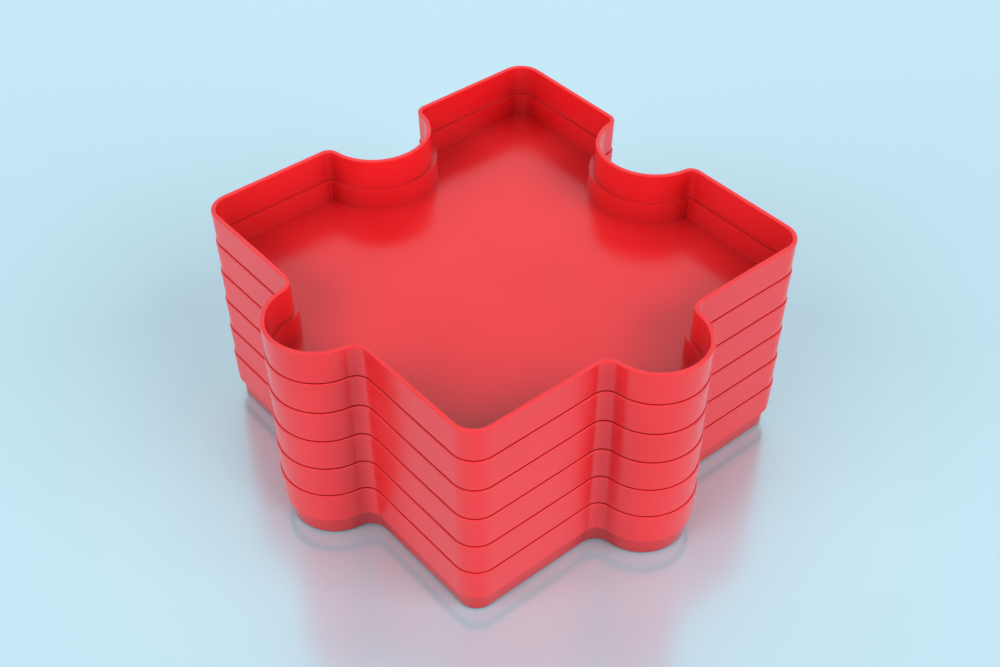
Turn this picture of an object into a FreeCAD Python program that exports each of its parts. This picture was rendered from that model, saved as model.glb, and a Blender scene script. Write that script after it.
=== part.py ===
import FreeCAD, Part
import math
import os

# A stack of sorting trays, each with the outline of a jigsaw piece: a tab on two neighbouring sides and a notch on
# the other two, so that trays laid side by side lock together. Millimetres, +Z up. The origin is on the surface
# that the stack stands on, below the middle of the stack's bounding box. The trays are copies of one moulding.

# Plan of the rim
overall = 205.0
tab_reach = 25.0
tab_head_radius = 22.5
# Between a tab and the notch of the tray beside it, all along the joint
interlock_gap = 0.6
# Inside radii at the floor, where the outline is tightest: at the square's corners and beside the notches
corner_inside_radius = 6.2
lip_inside_radius = 0.8

# Upright section: a foot steps in below the wall, goes into the tray beneath and leaves the step on that tray's rim
tray_height = 26.0
nest_depth = 10.0
nest_gap = 0.4
wall = 2.0
floor = 2.0
draft_degrees = 2.0
base_round = 1.5
step_chamfer = 0.5
rim_chamfer = 0.4

# Stack
tray_count = 6

TAB, NOTCH = 1, -1
# What is in the middle of each side, going round from the -Y side to +X, +Y and -X
SIDES = [TAB, TAB, NOTCH, NOTCH]
SAME_HEIGHT = 1e-6

lean = math.tan(math.radians(draft_degrees))
stack_pitch = tray_height - nest_depth
ledge_height = nest_depth + floor
# Insets are measured from the rim's outer edge: of the foot at the step, and of the inside at the floor
foot_inset = wall + nest_gap
floor_inset = foot_inset + wall + nest_depth * lean

half_side = (overall - tab_reach) / 2
head_offset = tab_reach - tab_head_radius
corner_radius = floor_inset + corner_inside_radius
neck_radius = floor_inset + lip_inside_radius + interlock_gap
neck_x = math.sqrt((tab_head_radius + neck_radius) ** 2 - (neck_radius - head_offset) ** 2)

middle = FreeCAD.Vector(-tab_reach / 2, tab_reach / 2, 0)
up = FreeCAD.Vector(0, 0, 1)


def line(start, end):
    return Part.LineSegment(start, end).toShape()


def arc(start, end, centre):
    """The short arc from start to end about a centre."""
    spoke = (start + end - centre * 2).normalize()
    return Part.Arc(start, centre + spoke * start.distanceToPoint(centre), end).toShape()


def side_edges(kind, inset):
    """One side and the corner after it, going along +X below the square's middle. A notch is the tab of the tray
    beside it, swollen by the gap, and both keep their centres at every inset."""
    root_y = -half_side - (interlock_gap if kind == NOTCH else 0)
    swell = -half_side - root_y - kind * inset
    head = FreeCAD.Vector(0, root_y - kind * head_offset, 0)
    tip = head - FreeCAD.Vector(0, kind * (tab_head_radius + swell), 0)
    head_share = (tab_head_radius + swell) / (tab_head_radius + neck_radius)
    necks = [FreeCAD.Vector(x, root_y - kind * neck_radius, 0) for x in (-neck_x, neck_x)]
    joins = [head + (neck - head) * head_share for neck in necks]
    edge_y = inset - half_side
    feet = [FreeCAD.Vector(neck.x, edge_y, 0) for neck in necks]
    corner = FreeCAD.Vector(half_side - corner_radius, corner_radius - half_side, 0)
    start, end = [FreeCAD.Vector(x, edge_y, 0) for x in (-corner.x, corner.x)]
    return [
        line(start, feet[0]),
        arc(feet[0], joins[0], necks[0]),
        Part.Arc(joins[0], tip, joins[1]).toShape(),
        arc(joins[1], feet[1], necks[1]),
        line(feet[1], end),
        arc(end, FreeCAD.Vector(-edge_y, corner.y, 0), corner),
    ]


def outline(inset, height):
    """The whole outline as a wire at a height, drawn at an inset from the rim's outer edge."""
    edges = []
    for quarter, kind in enumerate(SIDES):
        for edge in side_edges(kind, inset):
            edges.append(edge.rotate(FreeCAD.Vector(), up, 90 * quarter))
    return Part.Wire(edges).translate(middle + up * height)


def drafted_block(inset, low, high):
    """The outline as a solid between two heights, widening upwards by the draft. The inset is the one at the top."""
    low_inset = inset + (high - low) * lean
    return Part.makeLoft([outline(low_inset, low), outline(inset, high)], True, True)


def edges_at(shape, height):
    """The level edges of a shape at a height."""
    return [
        edge for edge in shape.Edges
        if all(abs(vertex.Z - height) < SAME_HEIGHT for vertex in edge.Vertexes)
    ]


def tray():
    body = drafted_block(0, nest_depth, tray_height)
    body = body.makeChamfer(step_chamfer, edges_at(body, nest_depth))
    foot = drafted_block(foot_inset, 0, nest_depth)
    foot = foot.makeFillet(base_round, edges_at(foot, 0))
    mouth = drafted_block(wall, ledge_height, tray_height)
    well = drafted_block(foot_inset + wall, floor, ledge_height)
    shell = body.fuse(foot).cut(mouth.fuse(well)).removeSplitter()
    return shell.makeChamfer(rim_chamfer, edges_at(shell, tray_height)).Solids[0]


os.makedirs("parts", exist_ok=True)
one_tray = tray()
for number in range(tray_count):
    placed = one_tray.translated(up * stack_pitch * number)
    placed.exportStep(f"parts/tray_{number + 1}.step")
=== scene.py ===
import math

import bpy
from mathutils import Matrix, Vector


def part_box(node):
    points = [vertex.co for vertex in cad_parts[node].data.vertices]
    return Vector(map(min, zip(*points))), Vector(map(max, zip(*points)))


# A stack of sorting trays in satin red plastic, on a pale studio floor. Metres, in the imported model's frame.

# Camera: the photograph's viewing angle, framed on the stack
VIEW_AZIMUTH = math.radians(50)
VIEW_ELEVATION = math.radians(42)
VIEW_DISTANCE = 0.64
VIEW_TARGET = (-0.010, 0.010, 0.046)
LENS_MM = 52
SENSOR_MM = 36

# Plastic: its red and its gloss wander between two values
RED = (0.78, 0.014, 0.018, 1)
RED_DEEP = (0.74, 0.011, 0.014, 1)
GLOSSY_ROUGHNESS = 0.18
SATIN_ROUGHNESS = 0.25
PLASTIC_IOR = 1.59
FLOW_SIZE = 0.045
GRAIN_SIZE = 0.0006
GRAIN_DEPTH = 0.00001
NOISE_DETAIL = 1
# The middle part of a noise's range, which is all that it often reaches
NOISE_RANGE = (0.25, 0.75)

# Painted shade: the red is painted darker where shade falls, in a tray's own hollows, in the seams between
# trays, and on the foot near the floor
PAINTED_SHADE_HOLLOW = (0.24, 0.001, 0.002, 1)
HOLLOW_REACH = 0.035
PAINTED_SHADE_SEAM = (0.18, 0.002, 0.002, 1)
SEAM_REACH = 0.0026
FOOT_REACH = 0.014
# How far above and below the rim a seam's painted shade is whole, and where it has faded out
SEAM_RANGE = (0.0006, 0.0010)
SHADE_RAYS = 8

# Tray edges: flat faces are joined first, and each edge sharper than EDGE_ANGLE is then rounded
WELD_GAP = 1e-6
FLAT_ANGLE = math.radians(0.5)
EDGE_ANGLE = math.radians(25)
EDGE_ROUND = 0.00022
EDGE_STEPS = 2
# What the larger faces count for in a corner's shading: 50 is by area, and 100 leaves it to the largest
LARGE_FACE_WEIGHT = 100

# Studio: the world is seen at full strength and lights at a lower one
FLOOR_COLOUR = (0.42, 0.62, 0.71, 1)
FLOOR_ROUGHNESS = 0.2
FLOOR_IOR = 3.4
FLOOR_SIZE = 60
BACKGROUND = (0.72, 0.89, 0.97, 1)
WORLD_LIGHT = 0.38
SUN_ANGLE = math.radians(50)
# Name, where it shines from, strength
SUNS = [
    ("key", (1.3, 0.4, 0.8), 2.7),
    ("fill", (-0.1, -1.4, 0.8), 2.3),
    ("back", (-1.1, 0.8, 0.9), 0.6),
]


def new_material(name):
    material = bpy.data.materials.new(name)
    material.use_nodes = True
    return material, material.node_tree.nodes["Principled BSDF"]


def feed(tree, socket, value):
    """Gives a node's input another node's output, or a plain number or colour."""
    if isinstance(value, bpy.types.NodeSocket):
        tree.links.new(value, socket)
    else:
        socket.default_value = value


def calculate(tree, operation, first, second):
    node = tree.nodes.new("ShaderNodeMath")
    node.operation = operation
    feed(tree, node.inputs[0], first)
    feed(tree, node.inputs[1], second)
    return node.outputs["Value"]


def remap(tree, value, old, new, curve="LINEAR"):
    """Maps an old range to a new one, and holds at its ends."""
    node = tree.nodes.new("ShaderNodeMapRange")
    node.interpolation_type = curve
    for name, number in zip(("From Min", "From Max", "To Min", "To Max"), (*old, *new)):
        node.inputs[name].default_value = number
    feed(tree, node.inputs["Value"], value)
    return node.outputs["Result"]


def mix_colours(tree, share, first, second):
    """The first colour where the share is 0, and the second where it is 1."""
    node = tree.nodes.new("ShaderNodeMix")
    node.data_type = "RGBA"
    feed(tree, node.inputs["Factor"], share)
    feed(tree, node.inputs["A"], first)
    feed(tree, node.inputs["B"], second)
    return node.outputs["Result"]


def noise(tree, place, size):
    """A noise texture whose features are about one size across, in metres."""
    node = tree.nodes.new("ShaderNodeTexNoise")
    node.inputs["Scale"].default_value = 1 / size
    node.inputs["Detail"].default_value = NOISE_DETAIL
    feed(tree, node.inputs["Vector"], place)
    return node.outputs["Fac"]


def openness(tree, reach, own):
    """1 where nothing is in front of the surface within a reach, less in a hollow; the red is painted darker
    there as shade. With own set, a tray sees only itself, so that its hollows are the same whichever trays are
    near it."""
    node = tree.nodes.new("ShaderNodeAmbientOcclusion")
    node.only_local = own
    node.samples = SHADE_RAYS
    feed(tree, node.inputs["Distance"], reach)
    return node.outputs["AO"]


def seam_openness(tree, place):
    """Openness in the seams, where one tray stands on another, and on the lowest foot, and 1 elsewhere: the
    mask of the painted shade there.
    """
    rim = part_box("tray_1")[1].z
    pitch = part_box("tray_2")[1].z - rim
    apart = tree.nodes.new("ShaderNodeSeparateXYZ")
    feed(tree, apart.inputs["Vector"], place)
    height = apart.outputs["Z"]
    above_foot = calculate(tree, "GREATER_THAN", height, rim - pitch)
    from_rim = calculate(tree, "SUBTRACT", height, rim)
    from_seam = calculate(tree, "PINGPONG", from_rim, pitch / 2)
    off_seam = remap(tree, from_seam, SEAM_RANGE, (0, 1))
    elsewhere = calculate(tree, "MINIMUM", off_seam, above_foot)
    reach = remap(tree, above_foot, (0, 1), (FOOT_REACH, SEAM_REACH))
    return calculate(tree, "MAXIMUM", openness(tree, reach, own=False), elsewhere)


def red_plastic():
    """Through-coloured plastic, with faint flow shading, a fine grain, uneven gloss, and painted shade in
    hollows and seams.
    """
    material, shader = new_material("red_plastic")
    tree = material.node_tree
    place = tree.nodes.new("ShaderNodeTexCoord").outputs["Object"]
    flow = remap(tree, noise(tree, place, FLOW_SIZE), NOISE_RANGE, (0, 1), "SMOOTHERSTEP")
    red = mix_colours(tree, flow, RED_DEEP, RED)
    # Painted shade: the red is darkened in the tray's own hollows, where occlusion finds them
    red = mix_colours(tree, openness(tree, HOLLOW_REACH, own=True), PAINTED_SHADE_HOLLOW, red)
    # Painted shade: the red is darkened in the seams between trays and on the lowest foot near the floor
    red = mix_colours(tree, seam_openness(tree, place), PAINTED_SHADE_SEAM, red)
    feed(tree, shader.inputs["Base Color"], red)
    roughness = remap(tree, flow, (0, 1), (GLOSSY_ROUGHNESS, SATIN_ROUGHNESS))
    feed(tree, shader.inputs["Roughness"], roughness)
    shader.inputs["IOR"].default_value = PLASTIC_IOR

    grain = tree.nodes.new("ShaderNodeBump")
    grain.inputs["Distance"].default_value = GRAIN_DEPTH
    feed(tree, grain.inputs["Height"], noise(tree, place, GRAIN_SIZE))
    feed(tree, shader.inputs["Normal"], grain.outputs["Normal"])
    return material


def dress_tray(tray, material):
    """Gives a tray its material, and rounds its edges as a mould does."""
    for slot in tray.material_slots:
        slot.material = material
    weld = tray.modifiers.new("weld", "WELD")
    weld.merge_threshold = WELD_GAP
    flat = tray.modifiers.new("flat", "DECIMATE")
    flat.decimate_type = "DISSOLVE"
    flat.angle_limit = FLAT_ANGLE
    edges = tray.modifiers.new("edges", "BEVEL")
    edges.width = EDGE_ROUND
    edges.segments = EDGE_STEPS
    edges.limit_method = "ANGLE"
    edges.angle_limit = EDGE_ANGLE
    normals = tray.modifiers.new("normals", "WEIGHTED_NORMAL")
    normals.keep_sharp = False
    normals.weight = LARGE_FACE_WEIGHT


def floor():
    bpy.ops.mesh.primitive_plane_add(size=FLOOR_SIZE)
    plane = bpy.context.object
    plane.name = "studio_floor"
    material, shader = new_material("floor")
    shader.inputs["Base Color"].default_value = FLOOR_COLOUR
    shader.inputs["Roughness"].default_value = FLOOR_ROUGHNESS
    shader.inputs["IOR"].default_value = FLOOR_IOR
    plane.data.materials.append(material)


def sun(name, direction, strength):
    """A broad soft light from a direction, the same all over the floor, that leaves no bright patch on it."""
    light = bpy.data.lights.new(name, "SUN")
    light.angle = SUN_ANGLE
    light.energy = strength
    lamp = bpy.data.objects.new(name, light)
    bpy.context.collection.objects.link(lamp)
    lamp.visible_glossy = False
    lamp.rotation_euler = Vector(direction).to_track_quat("Z", "Y").to_euler()


def backdrop():
    """A pale world that the camera and reflections see at full strength, and that lights softly."""
    world = bpy.data.worlds.new("studio")
    bpy.context.scene.world = world
    world.use_nodes = True
    tree = world.node_tree
    background = tree.nodes["Background"]
    background.inputs["Color"].default_value = BACKGROUND
    rays = tree.nodes.new("ShaderNodeLightPath").outputs
    seen = rays["Is Camera Ray"]
    for kind in ("Is Glossy Ray", "Is Transmission Ray"):
        seen = calculate(tree, "MAXIMUM", seen, rays[kind])
    strength = remap(tree, seen, (0, 1), (WORLD_LIGHT, 1))
    feed(tree, background.inputs["Strength"], strength)


def camera():
    """Looks at the target from the photograph's angle."""
    back = Vector((
        math.sin(VIEW_AZIMUTH) * math.cos(VIEW_ELEVATION),
        -math.cos(VIEW_AZIMUTH) * math.cos(VIEW_ELEVATION),
        math.sin(VIEW_ELEVATION),
    ))
    data = bpy.data.cameras.new("camera")
    data.lens = LENS_MM
    data.sensor_width = SENSOR_MM
    eye = bpy.data.objects.new("camera", data)
    bpy.context.collection.objects.link(eye)
    eye.location = Vector(VIEW_TARGET) + back * VIEW_DISTANCE
    eye.rotation_euler = back.to_track_quat("Z", "Y").to_euler()
    bpy.context.scene.camera = eye


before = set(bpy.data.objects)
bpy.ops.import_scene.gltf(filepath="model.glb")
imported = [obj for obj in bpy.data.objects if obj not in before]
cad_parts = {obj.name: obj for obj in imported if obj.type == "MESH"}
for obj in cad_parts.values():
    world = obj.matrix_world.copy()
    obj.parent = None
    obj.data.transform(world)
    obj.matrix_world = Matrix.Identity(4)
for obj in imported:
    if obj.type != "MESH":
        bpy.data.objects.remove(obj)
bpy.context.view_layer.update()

plastic = red_plastic()
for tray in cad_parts.values():
    dress_tray(tray, plastic)
floor()
backdrop()
for name, direction, strength in SUNS:
    sun(name, direction, strength)
camera()

bpy.context.scene.view_settings.view_transform = "Standard"
